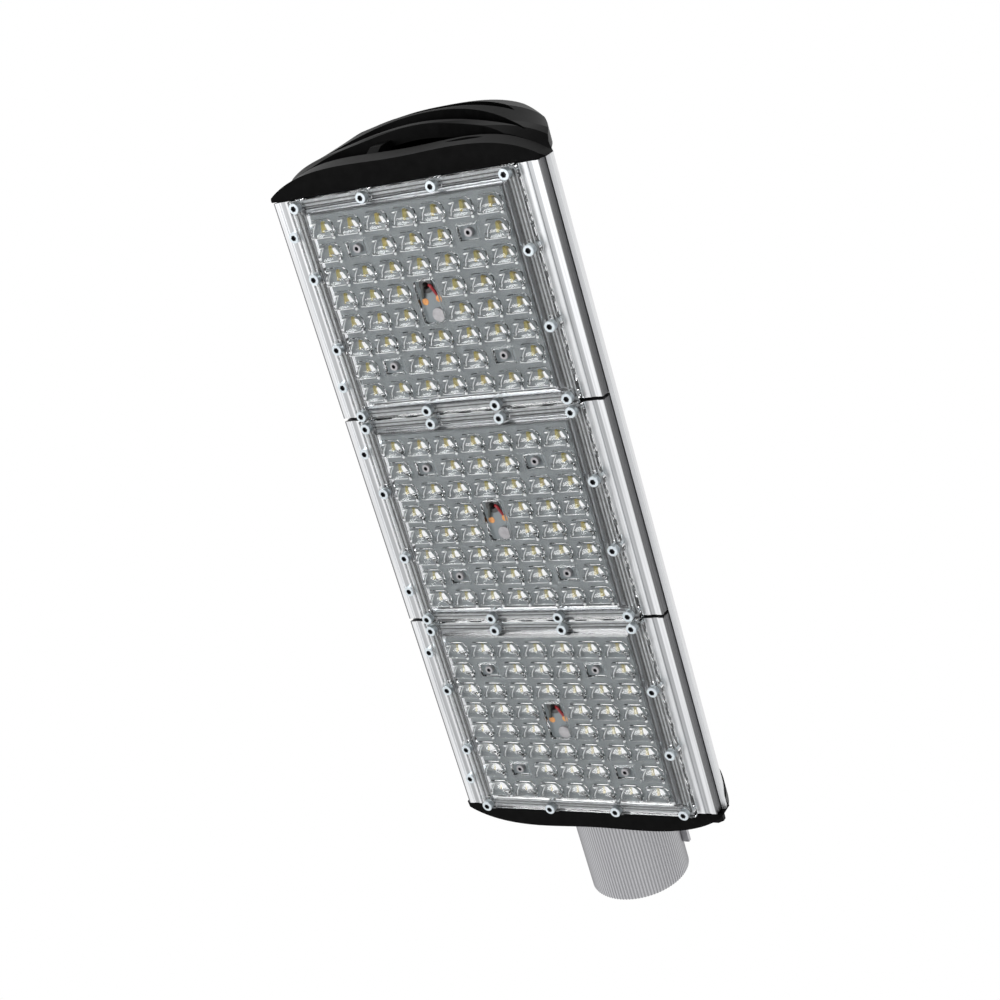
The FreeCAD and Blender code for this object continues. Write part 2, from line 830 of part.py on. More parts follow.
def cable_grommet():
    sleeve = rod(cable_hole_radius, V(socket_length, 0, 0), ALONG, end_plate_thickness)
    flange = rod(cable_flange_radius, V(row_start, 0, 0), ALONG, cable_flange_thickness)
    bore = rod(cable_bore_radius, V(socket_length, 0, 0), ALONG, 2 * end_plate_thickness)
    return joined([sleeve, flange]).cut(bore)


def driver_tray():
    low = face + tray_underside
    plate = block(tray_start, tray_start + tray_length, -tray_half_width, tray_half_width, low, tray_top)
    cuts = [rod(m4[0] + through_clearance, V(place.x, place.y, low), UP, tray_thickness)
            for place in tray_screw_places()]
    cuts += [rod(m4[0] + thread_clearance, V(place.x, place.y, low), UP, tray_thickness)
             for place in driver_screw_places()]
    x = driver_start - 2 * output_lead_turn
    cuts.append(middle_block(x, 0, tray_slot_half_length, tray_slot_half_width, low, tray_top))
    return plate.cut(cuts)


def driver_screw_places():
    seat = tray_top + driver_tab_thickness
    near = driver_start - driver_tab_length / 2
    far = driver_start + driver_length + driver_tab_length / 2
    return [V(x, side * driver_screw_across, seat) for x in (near, far) for side in (-1, 1)]


def driver():
    high = tray_top + driver_height
    end = driver_start + driver_length
    side = driver_half_width
    cut = driver_chamfer
    outline = [(-side, tray_top), (side, tray_top), (side, high - cut), (side - cut, high)]
    outline += [(cut - side, high), (-side, high - cut)]
    case = section_along(outline, driver_start, driver_length)
    tab = block(driver_start - driver_tab_length, end + driver_tab_length, -side, side,
                tray_top, tray_top + driver_tab_thickness)
    holes = [rod(m4[0] + through_clearance, V(place.x, place.y, tray_top), UP, driver_tab_thickness)
             for place in driver_screw_places()]
    return joined([case, tab]).cut(holes)


def terminal_block():
    end = terminal_start + terminal_length
    half = terminal_width / 2
    high = tray_top + terminal_height
    step = terminal_step
    outline = [(-half, tray_top), (half, tray_top), (half, high - step), (half - step, high - step)]
    outline += [(half - step, high), (step - half, high), (step - half, high - step)]
    outline.append((-half, high - step))
    return section_along([(terminal_across + y, z) for y, z in outline], terminal_start, end - terminal_start)


def input_lead():
    start = V(terminal_start + terminal_length, terminal_across, tray_top + input_lead_height)
    return rod(input_lead_radius, start, ALONG, driver_start - start.x)


def output_lead():
    """Cable on top of the connectors, turned up through the tray into the driver."""
    low = face + base_thickness + connector_height + output_lead_radius
    y = wire_hole_place[1]
    far = module_centre(module_count - 1) + wire_hole_place[0] + connector_length / 2
    bend = driver_start - output_lead_turn
    high = low + 2 * output_lead_turn
    start = V(far, y, low)
    edges = [Part.LineSegment(start, V(bend, y, low)).toShape()]
    turned = V(bend - output_lead_turn, y, low + output_lead_turn)
    edges.append(Part.Arc(V(bend, y, low), turned, V(bend, y, high)).toShape())
    edges.append(Part.LineSegment(V(bend, y, high), V(driver_start, y, high)).toShape())
    return pipe(edges, start, BACK, output_lead_radius)


def save(name, shape):
    if isinstance(shape, list):
        shape = Part.makeCompound(shape)
    shape.exportStep("parts/" + name + ".step")


def save_modules():
    lens_screws = []
    board_screws = []
    centre_screws = []
    joints = []
    for index in range(module_count):
        name = module_names[index]
        centre = module_centre(index)
        save(name + "_heat_sink", heat_sink(centre))
        save(name + "_board", board(centre))
        save(name + "_leds", leds(centre))
        save(name + "_gasket", gasket(centre))
        save(name + "_lens_plate", lens_plate(centre))
        save(name + "_wire_grommet", wire_grommet(centre))
        save(name + "_black_lead", lead(centre, -1))
        save(name + "_red_lead", lead(centre, 1))
        save(name + "_connector", connector(centre))
        lens_screws += [cap_screw(m4, V(x, y, screw_seat), UP, lens_screw_length)
                        for x, y in lens_screw_places(centre)]
        board_screws += [cap_screw(m3, V(x, y, board_face), UP, board_screw_length)
                         for x, y in board_screw_places(centre)]
        place = V(centre + centre_screw_place[0], centre_screw_place[1], board_face)
        centre_screws.append(cap_screw(centre_screw_head, place, UP, centre_screw_length))
        joints += solder_joints(centre)
    save("lens_screws", lens_screws)
    save("board_screws", board_screws)
    save("centre_screws", centre_screws)
    save("solder_joints", joints)
    save("module_screws", [cap_screw(m4, place, UP, module_screw_length)
                           for place in module_screw_places()])


def save_ends():
    save("front_cap", front_cap())
    save("rear_cap", rear_cap())
    save("pole_socket", pole_socket())
    save("clamp_screws", [clamp_screw(x) for x in clamp_screw_places])
    save("cable_grommet", cable_grommet())
    front_seat = row_end + web_thickness
    save("front_cap_screws", [cap_screw(m4, V(front_seat, y, z), BACK, cap_screw_length)
                              for y, z in front_screw_places()])
    rear_seat = socket_length - web_thickness
    save("rear_cap_screws", [cap_screw(m4, V(rear_seat, y, z), ALONG, rear_cap_screw_length)
                             for y, z in rear_screw_places()])
    save("end_plate_screws", [cap_screw(m4, V(socket_length, y, z), ALONG, end_plate_screw_length)
                              for y, z in port_places()])


def save_power():
    save("driver_tray", driver_tray())
    save("tray_screws", [cap_screw(m4, place, DOWN, tray_screw_length) for place in tray_screw_places()])
    save("driver", driver())
    save("driver_screws", [cap_screw(m4, place, DOWN, driver_screw_length)
                           for place in driver_screw_places()])
    save("terminal_block", terminal_block())
    save("input_lead", input_lead())
    save("output_lead", output_lead())


os.makedirs("parts", exist_ok=True)
save("housing", housing())
save_modules()
save_ends()
save_power()
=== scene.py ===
import bmesh
import bpy
import json
import math
from mathutils import Matrix, Vector


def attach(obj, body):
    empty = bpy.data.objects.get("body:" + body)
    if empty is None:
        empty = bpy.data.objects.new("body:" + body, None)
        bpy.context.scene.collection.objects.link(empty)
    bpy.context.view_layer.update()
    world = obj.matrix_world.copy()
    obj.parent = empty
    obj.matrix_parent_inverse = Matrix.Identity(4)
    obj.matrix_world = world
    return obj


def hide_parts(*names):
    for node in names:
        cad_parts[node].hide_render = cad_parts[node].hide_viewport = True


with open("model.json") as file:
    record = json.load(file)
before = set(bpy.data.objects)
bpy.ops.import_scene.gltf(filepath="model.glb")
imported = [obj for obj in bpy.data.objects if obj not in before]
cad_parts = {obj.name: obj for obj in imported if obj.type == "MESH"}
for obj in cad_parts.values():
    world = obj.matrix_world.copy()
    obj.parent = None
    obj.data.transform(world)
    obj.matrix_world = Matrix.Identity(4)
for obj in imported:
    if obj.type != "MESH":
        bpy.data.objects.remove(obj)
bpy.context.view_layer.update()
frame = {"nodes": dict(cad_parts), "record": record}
nodes = frame["nodes"]
mm = 0.001

# Three modules in a row from the pole outwards, and the levels of their parts

module_names = ("rear", "middle", "front")
module_start = 77.4 * mm
module_length = 145.4 * mm
module_pitch = 146.2 * mm
face = -39.5 * mm
board_face = face - 3.6 * mm
sheet_face = face - 6.6 * mm
module_centres = {name: module_start + module_length / 2 + index * module_pitch
                  for index, name in enumerate(module_names)}


# Nodes of materials

def grey(level):
    return (level, level, level)


def shader_of(material):
    return material.node_tree.nodes["Principled BSDF"]


def plain(name, colour, roughness, metallic=0.0, specular=0.5):
    material = bpy.data.materials.new(name)
    material.use_nodes = True
    shader = shader_of(material)
    shader.inputs["Base Color"].default_value = (*colour, 1)
    shader.inputs["Roughness"].default_value = roughness
    shader.inputs["Metallic"].default_value = metallic
    shader.inputs["Specular IOR Level"].default_value = specular
    return material


def add_node(owner, kind, **settings):
    """New node of a material or a world."""
    node = owner.node_tree.nodes.new(kind)
    for key, value in settings.items():
        setattr(node, key, value)
    return node


def link(owner, output, target):
    owner.node_tree.links.new(output, target)


def supply(owner, value, target):
    """Link an output to a socket, or write a colour or a number on it."""
    if isinstance(value, bpy.types.NodeSocket):
        link(owner, value, target)
    elif isinstance(value, tuple):
        target.default_value = (*value, 1)
    else:
        target.default_value = value


def arithmetic(owner, operation, first, second=None):
    node = add_node(owner, "ShaderNodeMath", operation=operation)
    supply(owner, first, node.inputs[0])
    if second is not None:
        supply(owner, second, node.inputs[1])
    return node.outputs[0]


def blended(owner, factor, first, second, kind="MIX"):
    """First colour where the factor is 0, and the blend with the second where it is 1."""
    mix = add_node(owner, "ShaderNodeMix", data_type="RGBA", blend_type=kind)
    supply(owner, factor, mix.inputs["Factor"])
    supply(owner, first, mix.inputs[6])
    supply(owner, second, mix.inputs[7])
    return mix.outputs[2]


def place_parts(material):
    """X, Y and Z of a point on the lamp."""
    place = add_node(material, "ShaderNodeTexCoord")
    parts = add_node(material, "ShaderNodeSeparateXYZ")
    link(material, place.outputs["Object"], parts.inputs[0])
    return parts.outputs


def noise(material, scale, stretch):
    """Noise on Object coordinates, with its own scale along each axis."""
    place = add_node(material, "ShaderNodeTexCoord")
    mapping = add_node(material, "ShaderNodeMapping")
    texture = add_node(material, "ShaderNodeTexNoise")
    mapping.inputs["Scale"].default_value = stretch
    texture.inputs["Scale"].default_value = scale
    texture.inputs["Detail"].default_value = 2.0
    link(material, place.outputs["Object"], mapping.inputs["Vector"])
    link(material, mapping.outputs["Vector"], texture.inputs["Vector"])
    return texture.outputs["Fac"]


def ramp(material, value, stops):
    node = add_node(material, "ShaderNodeValToRGB")
    elements = node.color_ramp.elements
    while len(elements) < len(stops):
        elements.new(0.5)
    for element, (position, colour) in zip(elements, stops):
        element.position = position
        element.color = (*colour, 1)
    link(material, value, node.inputs["Fac"])
    return node.outputs["Color"]


def stepped(material, value, low, high, stops):
    """Colour by steps of a value between two limits."""
    scaled = add_node(material, "ShaderNodeMapRange")
    scaled.inputs["From Min"].default_value = low
    scaled.inputs["From Max"].default_value = high
    link(material, value, scaled.inputs["Value"])
    return ramp(material, scaled.outputs["Result"], stops)


# Finishes

lengthwise = (1.0, 60.0, 60.0)
even = (1.0, 1.0, 1.0)
streak_scale = 8
cast_scale = 400
grain_share = 4
grain_height = 0.2 * mm


def mottled(name, dark, light, roughness, scale, stretch=even, metallic=0.0, specular=0.5, grain=0.0):
    """Material whose colour wanders between two shades, with a fine grain if it has one."""
    material = plain(name, light, roughness, metallic, specular)
    colour = ramp(material, noise(material, scale, stretch), ((0.3, dark), (0.7, light)))
    link(material, colour, shader_of(material).inputs["Base Color"])
    if grain:
        bump = add_node(material, "ShaderNodeBump")
        bump.inputs["Strength"].default_value = grain
        bump.inputs["Distance"].default_value = grain_height
        link(material, noise(material, grain_share * scale, stretch), bump.inputs["Height"])
        link(material, bump.outputs["Normal"], shader_of(material).inputs["Normal"])
    return material


def clear(name, colour, roughness):
    material = plain(name, colour, roughness)
    shader_of(material).inputs["Transmission Weight"].default_value = 1.0
    shader_of(material).inputs["IOR"].default_value = 1.49
    return material


slot_finishes = {
    "anodised_aluminium": dict(dark=(0.62, 0.63, 0.64), light=(0.78, 0.79, 0.80), roughness=0.34,
                               scale=streak_scale, stretch=lengthwise, metallic=0.8, grain=0.1),
    "cast_aluminium": dict(dark=(0.40, 0.40, 0.415), light=(0.44, 0.44, 0.455), roughness=0.42,
                           scale=cast_scale, metallic=0.8),
    "black_plastic": dict(dark=grey(0.002), light=grey(0.004), roughness=0.38, scale=150, specular=0.03,
                          grain=0.1),
    "circuit_board": dict(dark=(0.20, 0.225, 0.235), light=(0.23, 0.255, 0.265), roughness=0.5, scale=90),
    "led_phosphor": dict(dark=(0.28, 0.25, 0.006), light=(0.36, 0.25, 0.006), roughness=0.6, scale=300),
    "grey_rubber": dict(dark=grey(0.05), light=grey(0.09), roughness=0.7, scale=120),
    "zinc_steel": dict(dark=(0.62, 0.68, 0.71), light=(0.76, 0.82, 0.85), roughness=0.3, scale=500,
                       metallic=0.9),
    "red_insulation": dict(dark=(0.25, 0.01, 0.015), light=(0.32, 0.02, 0.025), roughness=0.4, scale=400),
    "black_insulation": dict(dark=(0.04, 0.045, 0.04), light=(0.07, 0.075, 0.07), roughness=0.4, scale=400),
    "solder": dict(dark=(0.6, 0.6, 0.58), light=(0.75, 0.75, 0.73), roughness=0.25, scale=900, metallic=1.0),
    "white_nylon": dict(dark=(0.68, 0.68, 0.64), light=(0.74, 0.74, 0.7), roughness=0.45, scale=200),
    "driver_case": dict(dark=(0.30, 0.31, 0.33), light=(0.36, 0.37, 0.39), roughness=0.5, scale=150),
}
materials = {name: mottled(name, **finish) for name, finish in slot_finishes.items()}
materials["clear_lens"] = clear("clear_lens", (0.97, 0.98, 0.98), roughness=0.03)
# Darker, less glossy clear plastic: its darkness is painted shade on the sloping faces of the rim
painted_shade_clear = clear("painted_shade_clear", (0.36, 0.37, 0.38), roughness=0.12)
# White for the nubs and ribs of the lenses: painted highlights
painted_glint_white = mottled("painted_glint_white", (0.88, 0.89, 0.90), (0.95, 0.96, 0.97), roughness=0.25, scale=900)
clear_silicone = mottled("clear_silicone", (0.40, 0.41, 0.42), (0.56, 0.57, 0.58), roughness=0.4, scale=300)
dark_silicone = mottled("dark_silicone", grey(0.05), grey(0.10), roughness=0.5, scale=300)
copper = mottled("copper", (0.60, 0.25, 0.08), (0.80, 0.38, 0.14), roughness=0.4, scale=600, metallic=0.3)
tinned_steel = mottled("tinned_steel", (0.34, 0.33, 0.34), (0.46, 0.45, 0.46), roughness=0.4, scale=300,
                       metallic=0.6)
black_steel = mottled("black_steel", (0.010, 0.010, 0.011), (0.022, 0.022, 0.024), roughness=0.45, scale=500,
                      metallic=0.3)
# Painted shade, for the insides of the screw sockets and for the heat sinks' end faces in the gaps between
# modules
painted_recess_and_gap_shade = mottled("painted_recess_and_gap_shade", (0.02, 0.02, 0.022), (0.04, 0.04, 0.045), roughness=0.5, scale=900,
                      metallic=0.5)

# Heat sink, whose lips lie between these two distances from the middle of the lamp

lip_inner = 80.0 * mm
lip_outer = 95.4 * mm


def painted_light_bar():
    """Aluminium bar whose lips carry painted light: a painted sheen stripe, painted highlights, and painted
    shade in a groove and on the sides.
    """
    material = plain("painted_light_bar", (0.8, 0.81, 0.82), 0.34, 0.8)
    painted_sheen = (0.74, 0.75, 0.76)
    painted_highlight = (0.86, 0.87, 0.88)
    painted_groove_shade_inner = (0.52, 0.53, 0.54)
    painted_groove_shade_outer = (0.50, 0.51, 0.52)
    painted_side_shade = (0.17, 0.17, 0.175)
    # Painted light across the lips, from the inner edge out: sheen, highlight, groove shade, highlight, side
    # shade
    bands = ((0.0, painted_sheen), (0.18, painted_highlight), (0.40, painted_highlight), (0.43, painted_groove_shade_inner),
             (0.62, painted_groove_shade_outer), (0.66, painted_highlight), (0.90, painted_highlight), (0.94, painted_side_shade))
    across = arithmetic(material, "ABSOLUTE", place_parts(material)["Y"])
    shade = stepped(material, across, lip_inner, lip_outer, bands)
    streaks = ramp(material, noise(material, streak_scale, lengthwise),
                   ((0.35, grey(0.80)), (0.6, grey(1.0))))
    colour = blended(material, 1.0, shade, streaks, "MULTIPLY")
    link(material, colour, shader_of(material).inputs["Base Color"])
    return material


# Pole socket: where its flutes lie about the middle, and where its mouth ends and its end plate starts

flute_count = 96.0
flute_radius = 34.3 * mm
flute_reach = 0.8 * mm
mouth_depth = 0.1 * mm
end_plate_start = 69.3 * mm


def fluted_casting_with_painted_shade():
    """Cast aluminium, with painted shade as a dark stripe on each ridge of the tube, and near-black on the
    end plate.
    """
    metal_share = 0.8
    gloss = 0.5
    plate_gloss_loss = 0.43
    material = plain("fluted_casting_with_painted_shade", (0.5, 0.5, 0.52), 0.4, metal_share)
    shader = shader_of(material)
    parts = place_parts(material)

    def worked(operation, first, second=None):
        return arithmetic(material, operation, first, second)

    angle = worked("ARCTAN2", parts["Z"], parts["Y"])
    ridges = worked("COSINE", worked("MULTIPLY", angle, flute_count))
    # Painted light and shade of the flutes: a dark stripe on each ridge, lighter between them
    painted_flute_shade = stepped(material, ridges, -1.0, 1.0, ((0.3, (0.55, 0.55, 0.565)), (0.75, (0.31, 0.31, 0.32))))
    cast = ramp(material, noise(material, cast_scale, even),
                ((0.3, (0.42, 0.42, 0.435)), (0.7, (0.50, 0.50, 0.515))))
    squares = [worked("MULTIPLY", parts[axis], parts[axis]) for axis in "YZ"]
    radius = worked("SQRT", worked("ADD", *squares))
    off_flutes = worked("ABSOLUTE", worked("SUBTRACT", radius, flute_radius))
    on_tube = worked("LESS_THAN", off_flutes, flute_reach)
    behind_mouth = worked("GREATER_THAN", parts["X"], mouth_depth)
    on_plate = worked("GREATER_THAN", parts["X"], end_plate_start)
    colour = blended(material, worked("MULTIPLY", on_tube, behind_mouth), cast, painted_flute_shade)
    # Near-black end plate: a guessed black paint, which also stands as painted shade in what shows through
    # the cap's openings
    link(material, blended(material, on_plate, colour, grey(0.006)), shader.inputs["Base Color"])
    off_plate = worked("SUBTRACT", 1.0, on_plate)
    link(material, worked("MULTIPLY", off_plate, metal_share), shader.inputs["Metallic"])
    plate_loss = worked("MULTIPLY", on_plate, plate_gloss_loss)
    link(material, worked("SUBTRACT", gloss, plate_loss), shader.inputs["Specular IOR Level"])
    return material


slot_of_node = {row["node"]: row["material_slot"] for row in frame["record"]["subparts"]}
for name, node in nodes.items():
    node.data.materials.clear()
    node.data.materials.append(materials[slot_of_node[name]])
nodes["centre_screws"].data.materials[0] = tinned_steel
nodes["end_plate_screws"].data.materials[0] = black_steel
nodes["pole_socket"].data.materials[0] = fluted_casting_with_painted_shade()


# Meshes

def mesh_of(bm, name):
    mesh = bpy.data.meshes.new(name)
    bm.to_mesh(mesh)
    bm.free()
    return mesh


def add_piece(name, data, finishes, replaced=None):
    """Object of a mesh or a curve, with its finishes and the node that it stands for."""
    for finish in finishes:
        data.materials.append(finish)
    piece = bpy.data.objects.new(name, data)
    bpy.context.scene.collection.objects.link(piece)
    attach(piece, "root")
    if replaced:
        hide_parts(replaced)


def merged_copy(name):
    """Mesh of a CAD node with its loose triangles joined."""
    bm = bmesh.new()
    bm.from_mesh(nodes[name].data)
    bmesh.ops.remove_doubles(bm, verts=bm.verts[:], dist=0.001 * mm)
    return bm


def stamp(bm, mesh, matrix):
    """Add a copy of a mesh, moved by this matrix, to a bmesh from which nothing was deleted."""
    count = len(bm.verts)
    bm.from_mesh(mesh)
    bm.verts.ensure_lookup_table()
    bmesh.ops.transform(bm, matrix=matrix, verts=bm.verts[count:])


def extruded_loop(bm, edges):
    """Extrude a loop of edges, and give its new verts and the new loop."""
    made = bmesh.ops.extrude_edge_only(bm, edges=edges)["geom"]
    verts = [item for item in made if isinstance(item, bmesh.types.BMVert)]
    loop = [item for item in made if isinstance(item, bmesh.types.BMEdge)
            and all(vert in verts for vert in item.verts)]
    return verts, loop


def unit_block():
    bm = bmesh.new()
    bmesh.ops.create_cube(bm, size=1)
    return mesh_of(bm, "block")


block_mesh = unit_block()


def add_block(bm, middle, size):
    stamp(bm, block_mesh, Matrix.Translation(middle) @ Matrix.Diagonal((*size, 1)))


# One lens: a pad with cut corners, and on it a hood that is flat towards the pole. Places are along and
# across from the lens's middle, in millimetres. A level of the hood has its shares of the front, the back
# and the width of the hood's base, and its height.

pad_half_length = 6.0 * mm
pad_half_width = 8.7 * mm
pad_cut = 3.0 * mm
pad_height = 0.7 * mm
pad_top_length_share = 0.95
pad_top_width_share = 0.96
hood_base = ((4.9, 2.6), (4.0, 4.6), (-2.4, 7.9), (-5.0, 7.6))
hood_levels = ((0.80, 0.98, 1.0, 1.5), (0.52, 0.92, 0.99, 2.5), (0.22, 0.80, 0.95, 3.3),
               (-0.05, 0.62, 0.87, 3.8), (-0.2, 0.35, 0.77, 3.98))
led_size = (5.0 * mm, 1.7 * mm, 0.8 * mm)

# Nubs (place, half length and half width) and ribs (both ends and thickness) round a hood, in millimetres:
# white marks that are painted highlights for the glints of a lens

nubs = ((-5.0, -8.2, 0.8, 1.5), (-6.2, 6.8, 1.0, 1.0), (3.2, -5.2, 0.6, 2.1))
nub_half_height = 0.9
nub_depth = 0.4 * mm
ribs = ((3.6, -2.9, -3.3, -6.3, 0.45), (-5.6, -7.0, -5.6, 5.0, 0.35))

# Grid of the lenses, and the rows and columns from its middle that have the four screw boxes

lens_rows = 8
lens_columns = 7
row_pitch = 15.35 * mm
column_pitch = 20 * mm
box_row = 2.5
box_column = 2

# Lens plate: where its rim starts, the slopes there that get painted shade, and how far its prisms reach
# down

rim_start_along = 60 * mm
rim_start_across = 68 * mm
steepest_shaded = 0.2
flattest_shaded = 0.95
prism_margin = 0.55 * mm
weld_distance = 0.02 * mm


def pad_corners():
    corners = []
    for a, b in ((1, 1), (-1, 1), (-1, -1), (1, -1)):
        on_end = (a * pad_half_length, b * (pad_half_width - pad_cut))
        on_side = (a * (pad_half_length - pad_cut), b * pad_half_width)
        corners += [on_end, on_side] if a == b else [on_side, on_end]
    return corners


def hood_corners():
    right = [(x * mm, y * mm) for x, y in hood_base]
    left = [(x, -y) for x, y in reversed(right)]
    return right + left


def lens_shell():
    """Pad and hood of one lens, raised from the sheet loop by loop and open at the sheet."""
    bm = bmesh.new()
    base = [bm.verts.new((x, y, 0)) for x, y in pad_corners()]
    corner_of = {vert: index for index, vert in enumerate(base)}

    def raised(edges, corners, height):
        """Extrude a loop of edges, and put its new verts on these corners."""
        verts, loop = extruded_loop(bm, edges)
        for vert in verts:
            neighbours = [edge.other_vert(vert) for edge in vert.link_edges]
            below = next(other for other in neighbours if other not in verts)
            corner_of[vert] = corner_of[below]
            x, y = corners[corner_of[vert]]
            vert.co = (x, y, -height)
        return loop

    pad_top = [(pad_top_length_share * x, pad_top_width_share * y) for x, y in pad_corners()]
    hood = hood_corners()
    edges = [bm.edges.new(pair) for pair in zip(base, base[1:] + base[:1])]
    edges = raised(edges, pad_top, pad_height)
    edges = raised(edges, hood, pad_height)
    pad_faces = set(bm.faces)
    for front, back, width, height in hood_levels:
        corners = [(x * (front if x > 0 else back), y * width) for x, y in hood]
        edges = raised(edges, corners, height * mm)
    bmesh.ops.edgeloop_fill(bm, edges=edges)
    for side in bm.faces:
        side.smooth = side not in pad_faces
    bmesh.ops.recalc_face_normals(bm, faces=bm.faces[:])
    lowest = min(bm.faces, key=lambda side: side.calc_center_median().z)
    if lowest.normal.z > 0:
        bmesh.ops.reverse_faces(bm, faces=bm.faces[:])
    return mesh_of(bm, "lens")


def unit_nub():
    bm = bmesh.new()
    bmesh.ops.create_uvsphere(bm, u_segments=8, v_segments=6, radius=mm)
    for side in bm.faces:
        side.smooth = True
    return mesh_of(bm, "nub")


lens_mesh = lens_shell()
nub_mesh = unit_nub()


def lens_places(centre):
    """Middles of the lenses: the whole grid, less four screw boxes and the window."""
    places = []
    for row in range(lens_rows):
        for column in range(lens_columns):
            along = row - (lens_rows - 1) / 2
            across = column - (lens_columns - 1) / 2
            in_box = abs(along) == box_row and abs(across) == box_column
            in_window = abs(along) < 1 and across == 0
            if not in_box and not in_window:
                places.append((centre + along * row_pitch, across * column_pitch))
    return places


def moulded_plate(module, centre):
    """The CAD plate with its plain prisms taken off and the true lenses put on."""
    name = module + "_lens_plate"
    bm = merged_copy(name)
    prisms = [side for side in bm.faces if side.calc_center_median().z < sheet_face - prism_margin]
    bmesh.ops.delete(bm, geom=prisms, context="FACES")
    lenses = bmesh.new()
    for x, y in lens_places(centre):
        stamp(lenses, lens_mesh, Matrix.Translation((x, y, sheet_face)))
    bm.from_mesh(mesh_of(lenses, "lenses"))
    bmesh.ops.remove_doubles(bm, verts=bm.verts[:], dist=weld_distance)
    for side in bm.faces:
        middle = side.calc_center_median()
        at_rim = abs(middle.x - centre) > rim_start_along or abs(middle.y) > rim_start_across
        # Sloping faces at the rim take the second finish, painted shade
        if at_rim and steepest_shaded < abs(side.normal.z) < flattest_shaded:
            side.material_index = 1
    finishes = [materials["clear_lens"], painted_shade_clear]
    add_piece(name + "_moulded", mesh_of(bm, name), finishes, name)


def painted_glint_nubs(module, centre):
    """Small white nubs and ribs on the pads, painted highlights that stand for the lenses' glints."""
    bm = bmesh.new()
    for x, y in lens_places(centre):
        for along, across, half_length, half_width in nubs:
            place = Matrix.Translation((x + along * mm, y + across * mm, sheet_face - nub_depth))
            size = Matrix.Diagonal((half_length, half_width, nub_half_height, 1))
            stamp(bm, nub_mesh, place @ size)
        for start_along, start_across, end_along, end_across, thickness in ribs:
            start = Vector((x + start_along * mm, y + start_across * mm, sheet_face - pad_height))
            end = Vector((x + end_along * mm, y + end_across * mm, sheet_face - pad_height))
            place = Matrix.Translation((start + end) / 2)
            turn = (end - start).to_track_quat("X", "Z").to_matrix().to_4x4()
            size = Matrix.Diagonal(((end - start).length, thickness * mm, thickness * mm, 1))
            stamp(bm, block_mesh, place @ turn @ size)
    name = module + "_painted_glint_nubs"
    add_piece(name, mesh_of(bm, name), [painted_glint_white])


def led_chips(module, centre):
    bm = bmesh.new()
    for x, y in lens_places(centre):
        add_block(bm, (x, y, board_face - led_size[2] / 2), led_size)
    name = module + "_led_chips"
    add_piece(name, mesh_of(bm, name), [materials["led_phosphor"]], module + "_leds")


for module, centre in module_centres.items():
    moulded_plate(module, centre)
    painted_glint_nubs(module, centre)
    led_chips(module, centre)


# Gaskets, thinner than the gap, so that the clear plate doesn't share a face with them. A bead has the half
# length and the half width of its loop and its own width, in millimetres.

gasket_base = 0.25 * mm
gasket_share = 0.25
gasket_beads = ((70.8, 79.8, 1.6), (68.4, 76.9, 1.2), (66.3, 74.4, 1.0))
bead_height = 0.45 * mm


def gasket_foot(module):
    """Dark foot of a gasket: the CAD one, made thinner about the level of its base."""
    name = module + "_gasket"
    bm = merged_copy(name)
    level = Matrix.Translation((0, 0, face - gasket_base))
    thinner = level @ Matrix.Diagonal((1, 1, gasket_share, 1)) @ level.inverted()
    bmesh.ops.transform(bm, matrix=thinner, verts=bm.verts[:])
    add_piece(name + "_base", mesh_of(bm, name), [dark_silicone], name)


def beads_of_gasket(module, centre):
    bm = bmesh.new()
    z = face - gasket_base - bead_height / 2
    for half_length, half_width, width in gasket_beads:
        for side in (-1, 1):
            along = (2 * half_length * mm, width * mm, bead_height)
            add_block(bm, (centre, side * half_width * mm, z), along)
            across = (width * mm, 2 * half_width * mm, bead_height)
            add_block(bm, (centre + side * half_length * mm, 0, z), across)
    name = module + "_gasket_beads"
    add_piece(name, mesh_of(bm, name), [clear_silicone])


# Feed in the window of a lens plate: two wires that end on copper pads. Places are along and across from the
# plate's middle, in millimetres. A wire has its colour, its side of the hole, where it bends and its pad.

wire_radius = 0.95 * mm
wire_roundness = 4
wire_steps = 8
wire_hole = (9.5, -0.8)
wire_spread = 1.3
wire_start = face + 6 * mm
bend_along = 0.4 * mm
bend_drop = 1.6 * mm
straight_share = 0.6
wire_stop = 2.6
feed_wires = (("black", -1, -2.2, (-0.5, -4.8)), ("red", 1, 3.6, (0.5, 5.4)))
pad_radius = 2.2 * mm
pad_thickness = 0.2 * mm
round_sides = 24


def wire_curve(name, points):
    curve = bpy.data.curves.new(name, "CURVE")
    curve.dimensions = "3D"
    curve.bevel_depth = wire_radius
    curve.bevel_resolution = wire_roundness
    curve.resolution_u = wire_steps
    curve.use_fill_caps = True
    spline = curve.splines.new("NURBS")
    spline.points.add(len(points) - 1)
    for point, place in zip(spline.points, points):
        point.co = (*place, 1)
    spline.use_endpoint_u = True
    spline.order_u = 3
    return curve


def feed(module, centre):
    low = board_face - wire_radius
    for colour, side, bend_across, (pad_along, pad_across) in feed_wires:
        x = centre + wire_hole[0] * mm
        y = (wire_hole[1] + side * wire_spread) * mm
        bend = Vector((x + bend_along, bend_across * mm, low - bend_drop))
        end = Vector((centre + (pad_along + wire_stop) * mm, pad_across * mm, low))
        points = [Vector((x, y, wire_start)), Vector((x, y, board_face)), bend,
                  bend.lerp(end, straight_share), end]
        name = module + "_" + colour + "_wire"
        slot = colour + "_insulation"
        add_piece(name, wire_curve(name, points), [materials[slot]], module + "_" + colour + "_lead")


def wire_pads():
    bm = bmesh.new()
    for centre in module_centres.values():
        for *_, (along, across) in feed_wires:
            place = (centre + along * mm, across * mm, board_face - pad_thickness / 2)
            bmesh.ops.create_cone(bm, cap_ends=True, segments=round_sides, radius1=pad_radius,
                                  radius2=pad_radius, depth=pad_thickness, matrix=Matrix.Translation(place))
    add_piece("wire_pads", mesh_of(bm, "wire_pads"), [copper], "solder_joints")


